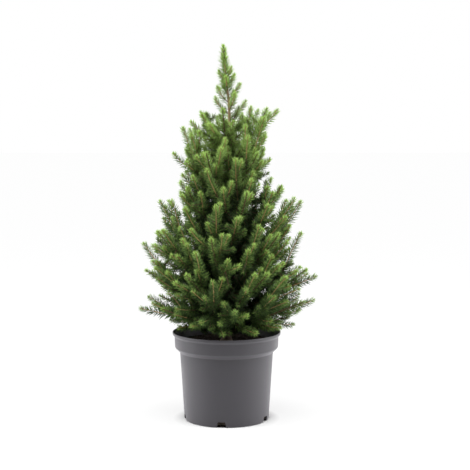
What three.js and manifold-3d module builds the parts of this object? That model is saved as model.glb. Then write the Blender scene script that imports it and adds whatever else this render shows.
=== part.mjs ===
// Potted dwarf spruce: a young cone-shaped evergreen in a plain nursery pot.
// Millimetres, +Z up. The origin is the centre of the pot's underside, on the ground.
// A bare trunk stands in the soil. Tiers of boughs leave it and rise towards the crown's
// surface, and each bough carries one mass of foliage: a stem whose shoots fan out, every
// shoot a slim core with needles standing out of it as swept teeth.
import * as THREE from "three";
import { mergeVertices } from "three/addons/utils/BufferGeometryUtils.js";
import Module from "manifold-3d";

// ---------- sizes ----------

const POT = {
  height: 155,
  lipRadius: 95, // the flared top edge
  lipHeight: 4,
  bandTopRadius: 91.6, // the deep rim band under the lip
  bandFootRadius: 90.8,
  bandFoot: 128,
  bodyTopRadius: 82,
  bodyTop: 119.5,
  baseRadius: 74.6,
  baseBevel: 2.2,
  wall: 1.4,
  floor: 4.5, // top of the floor above the ground
  footDisc: 30, // the underside rests on this disc and on the outer ring
  recessEdge: 62,
  recessDepth: 2,
  segments: 32,
};
const NOTCH = { count: 5, turn: -96.5, footWidth: 17, topWidth: 12.5, height: 10, from: 58 };
const SOIL = { top: 139, edgeTop: 135.5, flat: 16, clearance: 0.4, segments: 28, needleEdge: 82 };
const GAP = 0.3; // between pieces that carry each other
const SLIVER = 0.15; // edges shorter than this are closed up after joining

const TRUNK = {
  foot: SOIL.top + GAP,
  end: 604, // the leading shoot's foliage takes over here
  tip: 658,
  footRadius: 6.8,
  endRadius: 1.5,
  flare: 4.2, // extra radius of the root flare at the soil
  flareHeight: 8,
  bow: 5.2, // how far the trunk swings to +X
  kink: -9.8, // and back near its tip
  sides: 8,
  steps: 15,
};

// Height of a shoot's tip against the crown's radius there: to -X, to either side and to +X.
const CROWN_RADIUS = [
  [158, 94, 102, 106], [175, 104, 124, 120], [200, 142, 143, 138], [215, 138, 149, 150],
  [237, 134, 149, 140], [260, 142, 149, 156], [285, 141, 145, 122], [310, 145, 140, 106],
  [335, 128, 131, 116], [355, 111, 122, 115], [385, 113, 114, 128], [405, 84, 105, 111],
  [430, 83, 95, 80], [470, 78, 84, 72], [500, 75, 74, 78], [520, 68, 66, 84], [545, 46, 48, 76],
];
// Height of a shoot's tip against its lean out of the vertical, in degrees.
const SHOOT_LEAN = [
  [160, 84], [200, 73], [225, 64], [260, 54], [320, 38], [400, 27], [470, 29], [545, 23],
];

// Each tier is a ring of boughs: how many, the first one's bearing from +X, the heights of
// their feet and tips, and the share of a bough that stays bare limb, 0 where foliage starts
// at the trunk.
const TIERS = [
  { name: "top", count: 4, turn: -10, foot: 452, tip: 543, bare: 0, footRadius: 1.8 },
  { name: "upper", count: 5, turn: 175, foot: 378, tip: 478, bare: 0, footRadius: 2.1 },
  { name: "high", count: 5, turn: 0, foot: 305, tip: 410, bare: 0.24, footRadius: 2.6 },
  { name: "middle", count: 6, turn: 20, foot: 236, tip: 338, bare: 0.26, footRadius: 2.9 },
  { name: "wide", count: 6, turn: 4, foot: 186, tip: 268, bare: 0.28, footRadius: 3.1 },
  { name: "skirt", count: 6, turn: -25, foot: 163, tip: 212, bare: 0.28, footRadius: 3.1 },
];
// Side shoots reach for tips that cover the crown's surface evenly, on a spiral down it, and
// for a few on a narrower shell inside it, which grow first.
const SHELLS = [
  { count: 60, top: 500, foot: 165, out: 0.6, upright: 0.8 },
  { count: 160, top: 550, foot: 162, out: 0.96, upright: 1 },
];
// Height of a shoot's tip against its least length.
const SHORTEST = [[470, 60], [545, 34]];
const TIPS = {
  turn: 2.39996, // the golden angle
  apart: 15, // least distance from a bough's own tip
  leaveFirst: 0.06, // a shoot leaves its bough past the bare part by at least this share
  leaveAgain: 0.18, // and another shoot from this share of it
  leaveLast: 0.6,
  leaveStep: 0.06,
  longest: 130,
  fork: 0.2, // how dear a wide fork is against a long shoot
  aim: 8, // and a shoot that has to bend to its tip's lean
  crowd: 0.02, // and each shoot that its mass has already
  bend: 0.3,
};
// Bearing, height, radius and lean of the tips that stand out of the even crown.
const STRAYS = [
  [4, 545, 90, 30], [-8, 257, 159, 58], [180, 470, 93, 27], [186, 514, 77, 26],
  [170, 537, 59, 24], [187, 199, 154, 76], [-6, 214, 155, 62], [1, 386, 131, 27],
  [-12, 333, 133, 31], [3, 166, 121, 86], [24, 545, 62, 24], [-40, 549, 56, 22],
  [-105, 541, 40, 24], [-75, 524, 52, 30], [95, 538, 42, 24], [62, 524, 54, 30],
  [118, 520, 56, 30], [-125, 520, 56, 30], [178, 312, 147, 34], [175, 386, 118, 28],
];

const SHOOT = {
  core: 2.8,
  tipCore: 2,
  point: 8, // the plain point past the last teeth
  twig: 1.2, // radius where a shoot leaves its stem
  reach: 12.5, // a needle tooth's tip from the shoot's middle line
  sweep: 9, // how far a tooth leans towards the shoot's tip
  ringStep: 18,
  corners: 4,
  needled: 0.25, // the share of a side shoot before its first teeth
  stemNeedled: 0.14, // and of a mass's stem
  reachStep: 1.5, // teeth are shortened by this until a shoot is clear of other masses
  clearance: 0.6, // left between teeth of neighbouring masses
  apart: 3, // and at least this between the cores of two masses' shoots
  aboveGround: 3, // teeth end this far above the soil, or the pot's edge outside it
  turnStep: 0.05, // a shoot that has no room is tried again, turned by up to this
  liftStep: 2, // and lifted by up to this, more with each try
  tries: 8,
};
const LEADER = {
  sleeveFoot: 548,
  sleeveWall: 1.1,
  reach: 6.2,
  sweep: 6,
  ringStep: 9,
  shoots: 12,
  shootFoot: 528, // height at which the lowest of its side shoots leaves the trunk
  shootTop: 602,
  shootLength: 46,
  topLength: 26,
  lean: 42,
};
const BOUGH = {
  sides: 5,
  steps: 3,
  tipRadius: 1,
  stagger: 5, // neighbours in a tier leave the trunk at least this far apart in height
  reach: 0.98, // a bough's own tip, as a share of the crown's radius
  bend: 0.5,
};
// How far chance moves each bough and each tip. A bough's turn is a share of half the bearing
// between neighbours.
const BOUGH_WANDER = { turn: 0.1, tip: 7, reach: 0.04, lean: 4, foot: 2 };
const TIP_WANDER = { height: 8, bearing: 0.08, radius: 0.09, lean: 6 };
const SEED = 7;

const FULL_TURN = 2 * Math.PI;
const UP = new THREE.Vector3(0, 0, 1);

// ---------- small helpers ----------

// Seeded random numbers from 0 to 1.
function randomFrom(seed) {
  let state = seed >>> 0;
  return () => {
    state = (Math.imul(state, 1664525) + 1013904223) >>> 0;
    return state / 4294967296;
  };
}

// The value that a column of a table gives at x, straight between the rows, which start with x.
function lookUp(table, x, column = 1) {
  if (x <= table[0][0]) return table[0][column];
  for (let i = 1; i < table.length; i++) {
    const [low, high] = [table[i - 1], table[i]];
    const share = (x - low[0]) / (high[0] - low[0]);
    if (x <= high[0]) return low[column] + (high[column] - low[column]) * share;
  }
  return table[table.length - 1][column];
}

// The crown's reach at a height, which differs from side to side.
function crownRadius(height, bearing) {
  const [left, middle, right] = [1, 2, 3].map((column) => lookUp(CROWN_RADIUS, height, column));
  const along = Math.cos(bearing);
  return middle + ((along > 0 ? right : left) - middle) * along * along;
}

const smooth = (t) => {
  const s = Math.min(1, Math.max(0, t));
  return s * s * (3 - 2 * s);
};
const radians = (degrees) => (degrees * Math.PI) / 180;
const polar = (radius, angle, height) =>
  new THREE.Vector3(radius * Math.cos(angle), radius * Math.sin(angle), height);

const wasm = await Module();
wasm.setup();

// A closed geometry as a solid that can be joined and cut.
function solidOf(geometry) {
  const bare = geometry.index ? geometry.toNonIndexed() : geometry.clone();
  bare.deleteAttribute("normal");
  bare.deleteAttribute("uv");
  const merged = mergeVertices(bare, 1e-4);
  return new wasm.Manifold(
    new wasm.Mesh({
      numProp: 3,
      vertProperties: merged.attributes.position.array,
      triVerts: new Uint32Array(merged.index.array),
    }),
  );
}

function geometryOf(solid) {
  const mesh = solid.getMesh();
  return new THREE.BufferGeometry()
    .setAttribute("position", new THREE.BufferAttribute(new Float32Array(mesh.vertProperties), 3))
    .setIndex(new THREE.BufferAttribute(new Uint32Array(mesh.triVerts), 1));
}

// The largest body alone, which drops loose scraps and fills hollows that joining sealed, with
// the slivers along its seams closed up.
function oneBody(solid) {
  const bodies = solid.simplify(SLIVER).decompose();
  return bodies.reduce((most, body) => (body.volume() > most.volume() ? body : most));
}

// A profile of [radius, height] points turned about the Z axis.
function turned(profile, segments) {
  const points = profile.map(([radius, height]) => new THREE.Vector2(radius, height));
  return new THREE.LatheGeometry(points, segments).rotateX(Math.PI / 2);
}

// ---------- the middle lines ----------

// The trunk's middle at a height: it bows to one side and turns back near the tip.
function trunkMiddle(height) {
  const share = (height - TRUNK.foot) / (TRUNK.tip - TRUNK.foot);
  const x = TRUNK.bow * Math.sin(0.67 * Math.PI * share) + TRUNK.kink * smooth((share - 0.75) / 0.25);
  return new THREE.Vector3(x, -0.3 * TRUNK.bow * share, height);
}

function trunkRadius(height) {
  const share = (height - TRUNK.foot) / (TRUNK.end - TRUNK.foot);
  const taper = TRUNK.footRadius + (TRUNK.endRadius - TRUNK.footRadius) * share;
  return taper + TRUNK.flare * Math.exp(-(height - TRUNK.foot) / TRUNK.flareHeight);
}

// A curve from a start to a tip that arrives there with the given lean and bearing.
function risingCurve(start, tip, lean, bearing, pull) {
  const arrival = new THREE.Vector3(
    Math.sin(lean) * Math.cos(bearing),
    Math.sin(lean) * Math.sin(bearing),
    Math.cos(lean),
  );
  const control = tip.clone().addScaledVector(arrival, -pull * start.distanceTo(tip));
  return new THREE.QuadraticBezierCurve3(start, control, tip);
}

// A quadratic curve lies in one plane. The first direction is square to that plane, so the
// cross-sections along the curve don't twist.
function crossSectionAt(curve, share) {
  const tangent = curve.getTangent(share);
  const a = curve.v1.clone().sub(curve.v0);
  const b = curve.v2.clone().sub(curve.v1);
  const flat = a.cross(b);
  if (flat.length() < 1) flat.crossVectors(tangent, UP);
  const side = flat.addScaledVector(tangent, -flat.dot(tangent)).normalize();
  return { middle: curve.getPoint(share), tangent, side, over: tangent.clone().cross(side) };
}

// ---------- lofted bodies ----------

// A closed body over rings of the same number of corners, flat at both ends, or pointed where
// tip is given. On a toothed body the diagonals run between the corners that are no teeth.
function loft(rings, tip, toothed) {
  const corners = rings[0].length;
  const positions = rings.flat().flatMap((p) => [p.x, p.y, p.z]);
  const last = (rings.length - 1) * corners;
  const faces = [];
  for (let i = 0; i + 1 < rings.length; i++)
    for (let k = 0; k < corners; k++) {
      const next = (k + 1) % corners;
      const [a, b] = [i * corners + k, i * corners + next];
      const [c, d] = [a + corners, b + corners];
      if (toothed && (i + k) % 2 === 0) faces.push(a, b, c, b, d, c);
      else faces.push(a, b, d, a, d, c);
    }
  for (let k = 1; k + 1 < corners; k++) faces.push(0, k + 1, k);
  if (tip) {
    positions.push(tip.x, tip.y, tip.z);
    for (let k = 0; k < corners; k++)
      faces.push(last + k, last + ((k + 1) % corners), rings.length * corners);
  } else for (let k = 1; k + 1 < corners; k++) faces.push(last, last + k, last + k + 1);
  return new THREE.BufferGeometry()
    .setAttribute("position", new THREE.Float32BufferAttribute(positions, 3))
    .setIndex(faces);
}

function ringAt(section, radius, corners) {
  return Array.from({ length: corners }, (_, k) => {
    const angle = (FULL_TURN * k) / corners;
    return section.middle
      .clone()
      .addScaledVector(section.side, radius * Math.cos(angle))
      .addScaledVector(section.over, radius * Math.sin(angle));
  });
}

// A needled shoot: a slim core, and on every ring each second corner stands out as a tooth
// that leans towards the tip, the teeth of one ring between those of the next.
function needled(sections, cores, reach, sweep, tip, hold) {
  const rings = sections.map((section, i) => {
    const ring = ringAt(section, cores[i], SHOOT.corners);
    if (i === 0) return ring;
    return ring.map((corner, k) => {
      if ((i + k) % 2) return corner;
      const outward = corner.clone().sub(section.middle).normalize();
      const tooth = (length) =>
        section.middle
          .clone()
          .addScaledVector(outward, length)
          .addScaledVector(section.tangent, (sweep * length) / reach);
      return hold(tooth, section.middle, reach, cores[i]) ?? corner;
    });
  });
  return solidOf(loft(rings, tip, true));
}

// ---------- the growth of the crown ----------

// Points along a curve, with how thick the plain limb or core is there, and whose they are.
function sampled(curve, from, radius, mass) {
  const steps = Math.max(4, Math.round(curve.getLength() / 6));
  return Array.from({ length: steps + 1 }, (_, i) => {
    const share = from + ((1 - from) * i) / steps;
    return { at: curve.getPoint(share), radius, curve, mass };
  });
}

// Heights down the crown that give each strip of its surface as many tips as its area asks for.
function tipHeights({ count, top, foot }) {
  const heights = [];
  const levels = [];
  let area = 0;
  for (let height = top; height > foot; height--) {
    const radius = crownRadius(height, Math.PI / 2);
    area += radius * Math.hypot(1, radius - crownRadius(height - 1, Math.PI / 2));
    levels.push([height, area]);
  }
  for (let i = 0, at = 0; i < count; i++) {
    while (levels[at][1] < (area * (i + 0.5)) / count) at++;
    heights.push(levels[at][0]);
  }
  return heights;
}

// The places on a curve from which shoots can leave.
function forksOf(curve, first) {
  const forks = [];
  for (let leave = first; leave < TIPS.leaveLast; leave += TIPS.leaveStep)
    forks.push({ at: curve.getPoint(leave), heading: curve.getTangent(leave) });
  return forks;
}

// The mass, and the place on its bough or shoots, from which a shoot gets to a tip by a short
// straight way.
function nearestFork(masses, tip, arrival) {
  const shortest = lookUp(SHORTEST, tip.z);
  let best = null;
  for (const mass of masses) {
    const crowding = 1 + TIPS.crowd * mass.shoots.length;
    for (const { at, heading } of mass.forks) {
      const way = tip.clone().sub(at);
      const length = way.length();
      if (length <= shortest || length >= TIPS.longest) continue;
      const turnedOff = 1 - way.dot(heading) / length;
      const aimedOff = 1 - way.dot(arrival) / length;
      const cost = length * (1 + TIPS.fork * turnedOff + TIPS.aim * aimedOff) * crowding;
      if (!best || cost < best.cost) best = { mass, at, cost };
    }
  }
  return best;
}

// The middle lines of the short side shoots that stand close up to the leading shoot.
function leaderShoots() {
  return Array.from({ length: LEADER.shoots }, (_, n) => {
    const share = n / (LEADER.shoots - 1);
    const foot = trunkMiddle(LEADER.shootFoot + (LEADER.shootTop - LEADER.shootFoot) * share);
    const bearing = TIPS.turn * n + 0.3;
    const lean = radians(LEADER.lean * (1 - 0.35 * share));
    const length = LEADER.shootLength + (LEADER.topLength - LEADER.shootLength) * share;
    const tip = foot.clone().add(polar(length * Math.sin(lean), bearing, length * Math.cos(lean)));
    return risingCurve(foot, tip, 0.4 * lean, bearing, 0.5);
  });
}

// Grows every bough and shoot as curves, tier by tier from the top, round the leading shoot's. A
// shoot whose middle line comes too near another mass or a limb is turned a little, and left out
// where that fails.
function grow(leading) {
  const random = randomFrom(SEED);
  const spread = (amount) => amount * (2 * random() - 1);
  const masses = [];
  const limbs = [];
  for (let height = TRUNK.foot; height < TRUNK.end; height += 5)
    limbs.push({ at: trunkMiddle(height), radius: trunkRadius(height), curve: null, mass: null });
  for (const curve of leading) limbs.push(...sampled(curve, 0.3, SHOOT.core, "leader"));

  for (const tier of TIERS) {
    const half = Math.PI / tier.count;
    for (let n = 0; n < tier.count; n++) {
      const bearing = radians(tier.turn) + 2 * half * n + spread(BOUGH_WANDER.turn * half);
      const tipHeight = tier.tip + spread(BOUGH_WANDER.tip);
      const reach = crownRadius(tipHeight, bearing) * (BOUGH.reach + spread(BOUGH_WANDER.reach));
      const lean = radians(lookUp(SHOOT_LEAN, tipHeight) + spread(BOUGH_WANDER.lean));
      const step = ((2 * n) % tier.count) - (tier.count - 1) / 2;
      const foot = trunkMiddle(tier.foot + BOUGH.stagger * step + spread(BOUGH_WANDER.foot));
      const line = risingCurve(foot, polar(reach, bearing, tipHeight), lean, bearing, BOUGH.bend);
      const forks = forksOf(line, tier.bare + TIPS.leaveFirst);
      masses.push({ name: `${tier.name}_${n + 1}`, tier, line, forks, shoots: [], points: [] });
    }
  }
  for (const { name, tier, line } of masses) limbs.push(...sampled(line, 0.08, tier.footRadius, name));

  const farFromOthers = (curve, mass) =>
    sampled(curve, 0.04, SHOOT.core, mass.name).every((p) =>
      [...limbs, ...masses.flatMap((m) => m.points)].every(
        (q) => q.mass === mass.name || p.at.distanceTo(q.at) > p.radius + q.radius + SHOOT.apart,
      ),
    );
  const addShoot = (mass, start, bearing, height, radius, lean) => {
    for (let attempt = 0; attempt < SHOOT.tries; attempt++) {
      const turn = attempt === 0 ? 0 : spread(SHOOT.turnStep * attempt);
      const lift = attempt === 0 ? 0 : spread(SHOOT.liftStep * attempt);
      const tip = polar(radius, bearing + turn, height + lift);
      const curve = risingCurve(start, tip, lean, bearing + turn, TIPS.bend);
      if (!farFromOthers(curve, mass)) continue;
      mass.shoots.push(curve);
      mass.forks.push(...forksOf(curve, TIPS.leaveAgain));
      mass.points.push(...sampled(curve, 0.12, SHOOT.core, mass.name));
      return;
    }
  };
  const reachFor = (bearing, height, radius, lean) => {
    const tip = polar(radius, bearing, height);
    if (masses.some((mass) => mass.line.v2.distanceTo(tip) < TIPS.apart)) return;
    const arrival = polar(Math.sin(lean), bearing, Math.cos(lean));
    const fork = nearestFork(masses, tip, arrival);
    if (fork) addShoot(fork.mass, fork.at, bearing, height, radius, lean);
  };
  for (const [bearing, height, radius, lean] of STRAYS)
    reachFor(radians(bearing), height, radius, radians(lean));
  for (const shell of SHELLS)
    tipHeights(shell).forEach((level, i) => {
      const height = level + spread(TIP_WANDER.height);
      const bearing = TIPS.turn * i + spread(TIP_WANDER.bearing);
      const radius = crownRadius(height, bearing) * (shell.out + spread(TIP_WANDER.radius));
      const lean = radians(lookUp(SHOOT_LEAN, height) + spread(TIP_WANDER.lean)) * shell.upright;
      reachFor(bearing, height, radius, lean);
    });
  return { masses, limbs };
}

// ---------- the pieces ----------

function plain(colour, roughness) {
  const color = new THREE.Color(...colour);
  return new THREE.MeshStandardMaterial({ color, roughness, metalness: 0 });
}
const MATERIALS = {
  pot: plain([0.19, 0.185, 0.2], 0.55),
  soil: plain([0.045, 0.033, 0.024], 1),
  bark: plain([0.36, 0.27, 0.18], 0.9),
  needles: plain([0.13, 0.24, 0.06], 0.6),
};

const plant = new THREE.Group();
function addPiece(name, solid, material) {
  const mesh = new THREE.Mesh(geometryOf(solid), material);
  mesh.name = name;
  plant.add(mesh);
}

// The pot: a tapered body, a step out to the deep rim band, a flared lip, and drain notches
// that cut the foot of the wall and the edge of the floor.
function potBody() {
  const { wall } = POT;
  const outside = [
    [0, 0],
    [POT.footDisc, 0],
    [POT.footDisc + 2, POT.recessDepth],
    [POT.recessEdge - 2, POT.recessDepth],
    [POT.recessEdge, 0],
    [POT.baseRadius - POT.baseBevel, 0],
    [POT.baseRadius, POT.baseBevel],
    [POT.bodyTopRadius, POT.bodyTop],
    [POT.bandFootRadius, POT.bandFoot],
    [POT.bandTopRadius, POT.height - 2 * POT.lipHeight],
    [POT.lipRadius, POT.height - POT.lipHeight],
    [POT.lipRadius, POT.height],
  ];
  const inside = [
    [POT.lipRadius - wall, POT.height],
    [POT.lipRadius - wall, POT.height - POT.lipHeight + 0.6],
    [POT.bandTopRadius - wall, POT.height - 2 * POT.lipHeight + 0.6],
    [POT.bandFootRadius - wall, POT.bandFoot + 1],
    [POT.bodyTopRadius - wall, POT.bodyTop + 1],
    [POT.baseRadius - wall, POT.floor],
    [0, POT.floor],
  ];
  return solidOf(turned([...outside, ...inside], POT.segments));
}

function drainNotches() {
  const { footWidth, topWidth, height, from, count, turn } = NOTCH;
  const outline = new THREE.Shape([
    new THREE.Vector2(-footWidth / 2, -1),
    new THREE.Vector2(footWidth / 2, -1),
    new THREE.Vector2(footWidth / 2, 0),
    new THREE.Vector2(topWidth / 2, height),
    new THREE.Vector2(-topWidth / 2, height),
    new THREE.Vector2(-footWidth / 2, 0),
  ]);
  const depth = POT.baseRadius + 10 - from;
  return Array.from({ length: count }, (_, i) => {
    const bearing = radians(turn) + (FULL_TURN * i) / count;
    const cutter = new THREE.ExtrudeGeometry(outline, { depth, bevelEnabled: false })
      .translate(0, 0, from)
      .applyMatrix4(new THREE.Matrix4().makeBasis(new THREE.Vector3(0, 1, 0), UP, new THREE.Vector3(1, 0, 0)))
      .rotateZ(bearing);
    return solidOf(cutter);
  });
}

function soilFill() {
  const off = POT.wall + SOIL.clearance;
  return solidOf(
    turned(
      [
        [0, POT.floor + GAP],
        [POT.baseRadius - off, POT.floor + GAP],
        [POT.bodyTopRadius - off, POT.bodyTop + 1],
        [POT.bandFootRadius - off, POT.bandFoot + 1 + GAP],
        [POT.bandFootRadius - off, SOIL.edgeTop],
        [0.6 * POT.bandFootRadius, SOIL.top - 1],
        [SOIL.flat, SOIL.top],
        [0, SOIL.top],
      ],
      SOIL.segments,
    ),
  );
}

// The trunk, or with a margin the space that pieces round it stay out of.
function trunkBody(margin) {
  const rings = [];
  for (let i = 0; i <= TRUNK.steps; i++) {
    const share = (i / TRUNK.steps) ** 1.6; // closer together in the flare
    const height = TRUNK.foot + (TRUNK.end + margin - TRUNK.foot) * share;
    const section = {
      middle: trunkMiddle(height),
      side: new THREE.Vector3(1, 0, 0),
      over: new THREE.Vector3(0, 1, 0),
    };
    rings.push(ringAt(section, trunkRadius(height) + margin, TRUNK.sides));
  }
  return solidOf(loft(rings));
}

// Shortens a tooth until its tip is nearer its own shoot than any other limb or shoot.
function holder(curve, others) {
  return (tooth, middle, reach, core) => {
    for (let length = reach; length > core + 1; length -= 1) {
      const point = tooth(length);
      const room = length - SHOOT.core + SHOOT.clearance;
      const overRim = Math.hypot(point.x, point.y) > SOIL.needleEdge;
      const lowest = (overRim ? POT.height : SOIL.top) + SHOOT.aboveGround;
      const isFree = (q) => q.curve === curve || point.distanceTo(q.at) - q.radius > room;
      if (point.z > lowest && others.every(isFree)) return point;
    }
    return null;
  };
}

// A shoot along a curve: bare for the first share of it, then needled to its tip.
function shootBody(curve, from, bare, rootRadius, reach, others) {
  const hold = holder(curve, others);
  const length = curve.getLength() * (1 - from);
  const count = Math.max(2, Math.round((length * (1 - bare)) / SHOOT.ringStep));
  const sections = [crossSectionAt(curve, from)];
  const cores = [rootRadius];
  const lastTeeth = 1 - SHOOT.point / length;
  for (let i = 0; i < count; i++) {
    const share = from + (1 - from) * (bare + ((lastTeeth - bare) * i) / (count - 1));
    sections.push(crossSectionAt(curve, share));
    cores.push(SHOOT.core + ((SHOOT.tipCore - SHOOT.core) * i) / (count - 1));
  }
  return needled(sections, cores, reach, SHOOT.sweep, curve.getPoint(1), hold);
}

// The same shoot with the longest teeth that keep it clear of the bodies already made, or null
// where even the shortest don't.
function clearShoot(curve, from, bare, rootRadius, others, made) {
  for (let reach = SHOOT.reach; reach > SHOOT.core; reach -= SHOOT.reachStep) {
    const body = shootBody(curve, from, bare, rootRadius, reach, others);
    if (made.every((other) => body.minGap(other, 2 * GAP) > 0.5 * GAP)) return body;
  }
  return null;
}

// One mass of foliage: a needled stem that carries on from its bough, or from the trunk, and
// the side shoots fused to it.
function massBody(mass, made, everything, trunk, trunkSpace) {
  const { tier, line } = mass;
  const start = tier.bare ? tier.bare + GAP / line.getLength() : 0;
  const near = tier.bare ? [trunk, ...made] : made;
  const stemShape = [line, start, SHOOT.stemNeedled, boughRadius(tier, start)];
  const stem =
    clearShoot(...stemShape, everything, near) ?? shootBody(...stemShape, SHOOT.core, everything);
  const shoots = mass.shoots.map((curve) =>
    clearShoot(curve, 0, SHOOT.needled, SHOOT.twig, everything, near),
  );
  const joined = wasm.Manifold.union([stem, ...shoots.filter(Boolean)]);
  return oneBody(tier.bare ? joined : joined.subtract(trunkSpace));
}

function boughRadius(tier, share) {
  return tier.footRadius + (BOUGH.tipRadius - tier.footRadius) * share;
}

function boughBody(mass, trunkSpace) {
  const { tier, line } = mass;
  const sections = [];
  for (let i = 0; i <= BOUGH.steps; i++) sections.push((tier.bare * i) / BOUGH.steps);
  const rings = sections.map((share) =>
    ringAt(crossSectionAt(line, share), boughRadius(tier, share), BOUGH.sides),
  );
  return oneBody(solidOf(loft(rings)).subtract(trunkSpace));
}

// The leading shoot: needles in a sleeve round the trunk's top and on past its end, and short
// side shoots that stand up close to it.
function leaderBody(curves, made, everything, trunkSpace) {
  const count = Math.round((TRUNK.tip - LEADER.sleeveFoot) / LEADER.ringStep);
  const sections = [];
  const cores = [];
  for (let i = 0; i <= count; i++) {
    const height = LEADER.sleeveFoot + ((TRUNK.tip - 6 - LEADER.sleeveFoot) * i) / count;
    const tangent = trunkMiddle(height + 1).sub(trunkMiddle(height - 1)).normalize();
    const side = new THREE.Vector3(1, 0, 0).addScaledVector(tangent, -tangent.x).normalize();
    sections.push({ middle: trunkMiddle(height), tangent, side, over: tangent.clone().cross(side) });
    cores.push(trunkRadius(Math.min(height, TRUNK.end)) + LEADER.sleeveWall);
  }
  const hold = holder(null, everything);
  const sleeve = needled(sections, cores, LEADER.reach, LEADER.sweep, trunkMiddle(TRUNK.tip), hold);
  const shoots = curves.map((curve) =>
    clearShoot(curve, 0, SHOOT.needled, SHOOT.twig, everything, made),
  );
  return oneBody(wasm.Manifold.union([sleeve, ...shoots.filter(Boolean)]).subtract(trunkSpace));
}

addPiece("pot", potBody().subtract(wasm.Manifold.union(drainNotches())), MATERIALS.pot);
addPiece("soil", soilFill(), MATERIALS.soil);
const trunk = trunkBody(0);
addPiece("trunk", trunk, MATERIALS.bark);

const leading = leaderShoots();
const { masses, limbs } = grow(leading);
const everything = [...limbs, ...masses.flatMap((mass) => mass.points)];
const trunkSpace = trunkBody(GAP);
const made = [];
for (const mass of masses.filter(({ tier }) => tier.bare)) {
  const bough = boughBody(mass, trunkSpace);
  addPiece(`bough_${mass.name}`, bough, MATERIALS.bark);
  made.push(bough);
}
for (const mass of masses) {
  const foliage = massBody(mass, made, everything, trunk, trunkSpace);
  addPiece(`foliage_${mass.name}`, foliage, MATERIALS.needles);
  made.push(foliage);
}
addPiece("foliage_leader", leaderBody(leading, made, everything, trunkSpace), MATERIALS.needles);

export default plant;
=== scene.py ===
# Potted dwarf spruce: the finished plant, made round the part's solids.
# The crown grows by the same seeded rule as those solids, in millimetres, and is carried on to finer
# twigs and to single needles. Every piece is made in metres, +Z up, with the origin at the centre
# of the pot's underside.
import math

import bpy
import numpy as np
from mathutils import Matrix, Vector, noise


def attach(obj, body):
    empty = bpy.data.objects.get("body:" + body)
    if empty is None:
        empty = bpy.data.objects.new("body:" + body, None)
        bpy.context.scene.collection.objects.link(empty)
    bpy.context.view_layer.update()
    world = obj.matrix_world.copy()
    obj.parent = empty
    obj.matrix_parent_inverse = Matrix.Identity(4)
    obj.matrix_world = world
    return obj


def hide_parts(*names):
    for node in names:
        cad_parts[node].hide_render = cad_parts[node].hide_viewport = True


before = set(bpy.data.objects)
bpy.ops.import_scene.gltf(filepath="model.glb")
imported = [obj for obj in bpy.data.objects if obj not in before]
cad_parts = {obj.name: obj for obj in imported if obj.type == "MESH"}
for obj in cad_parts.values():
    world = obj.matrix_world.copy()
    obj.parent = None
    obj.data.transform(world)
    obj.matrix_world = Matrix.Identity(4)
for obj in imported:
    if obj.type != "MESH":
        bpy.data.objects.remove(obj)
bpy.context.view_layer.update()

MM = 0.001
UP = np.array([0.0, 0.0, 1.0])

# ---------- sizes, in millimetres, as in the part ----------

POT = dict(
    height=155, lip_radius=95, lip_height=4, band_top=91.6, band_foot=90.8, band_low=128,
    body_top=82, body_high=119.5, base_radius=74.6, base_bevel=2.2, wall=1.4, floor=4.5,
    foot_disc=30, recess_edge=62, recess_depth=2,
)
NOTCH = dict(count=5, turn=-96.5, foot_width=17, top_width=12.5, height=10, start=58)
SOIL = dict(top=139, edge_top=135.5, flat=16, clearance=0.4, needle_edge=82)
TRUNK = dict(foot=139.3, end=604, tip=658, foot_radius=6.8, end_radius=1.5, flare=4.2,
             flare_height=8, bow=5.2, kink=-9.8)
# height of a shoot's tip, and the crown's radius there to -X, to either side and to +X
CROWN_RADIUS = [
    (158, 94, 102, 106), (175, 104, 124, 120), (200, 142, 143, 138), (215, 138, 149, 150),
    (237, 134, 149, 140), (260, 142, 149, 156), (285, 141, 145, 122), (310, 145, 140, 106),
    (335, 128, 131, 116), (355, 111, 122, 115), (385, 113, 114, 128), (405, 84, 105, 111),
    (430, 83, 95, 80), (470, 78, 84, 72), (500, 75, 74, 78), (520, 68, 66, 84), (545, 46, 48, 76),
]
SHOOT_LEAN = [(160, 84), (200, 73), (225, 64), (260, 54), (320, 38), (400, 27), (470, 29),
              (545, 23)]
# name, boughs, first bearing, height of feet, height of tips, bare share, radius at the foot
TIERS = [
    ("top", 4, -10, 452, 543, 0, 1.8),
    ("upper", 5, 175, 378, 478, 0, 2.1),
    ("high", 5, 0, 305, 410, 0.24, 2.6),
    ("middle", 6, 20, 236, 338, 0.26, 2.9),
    ("wide", 6, 4, 186, 268, 0.28, 3.1),
    ("skirt", 6, -25, 163, 212, 0.28, 3.1),
]
# number of tips, highest, lowest, share of the crown's radius, share of the usual lean
SHELLS = [(60, 500, 165, 0.6, 0.8), (160, 550, 162, 0.96, 1)]
TIPS = dict(turn=2.39996, apart=15, leave_first=0.06, leave_again=0.18, leave_last=0.6,
            leave_step=0.06, longest=130, fork=0.2, aim=8.0, crowd=0.02, bend=0.3)
SHORTEST = [(470, 60), (545, 34)]  # height of a shoot's tip, and its least length
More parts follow.
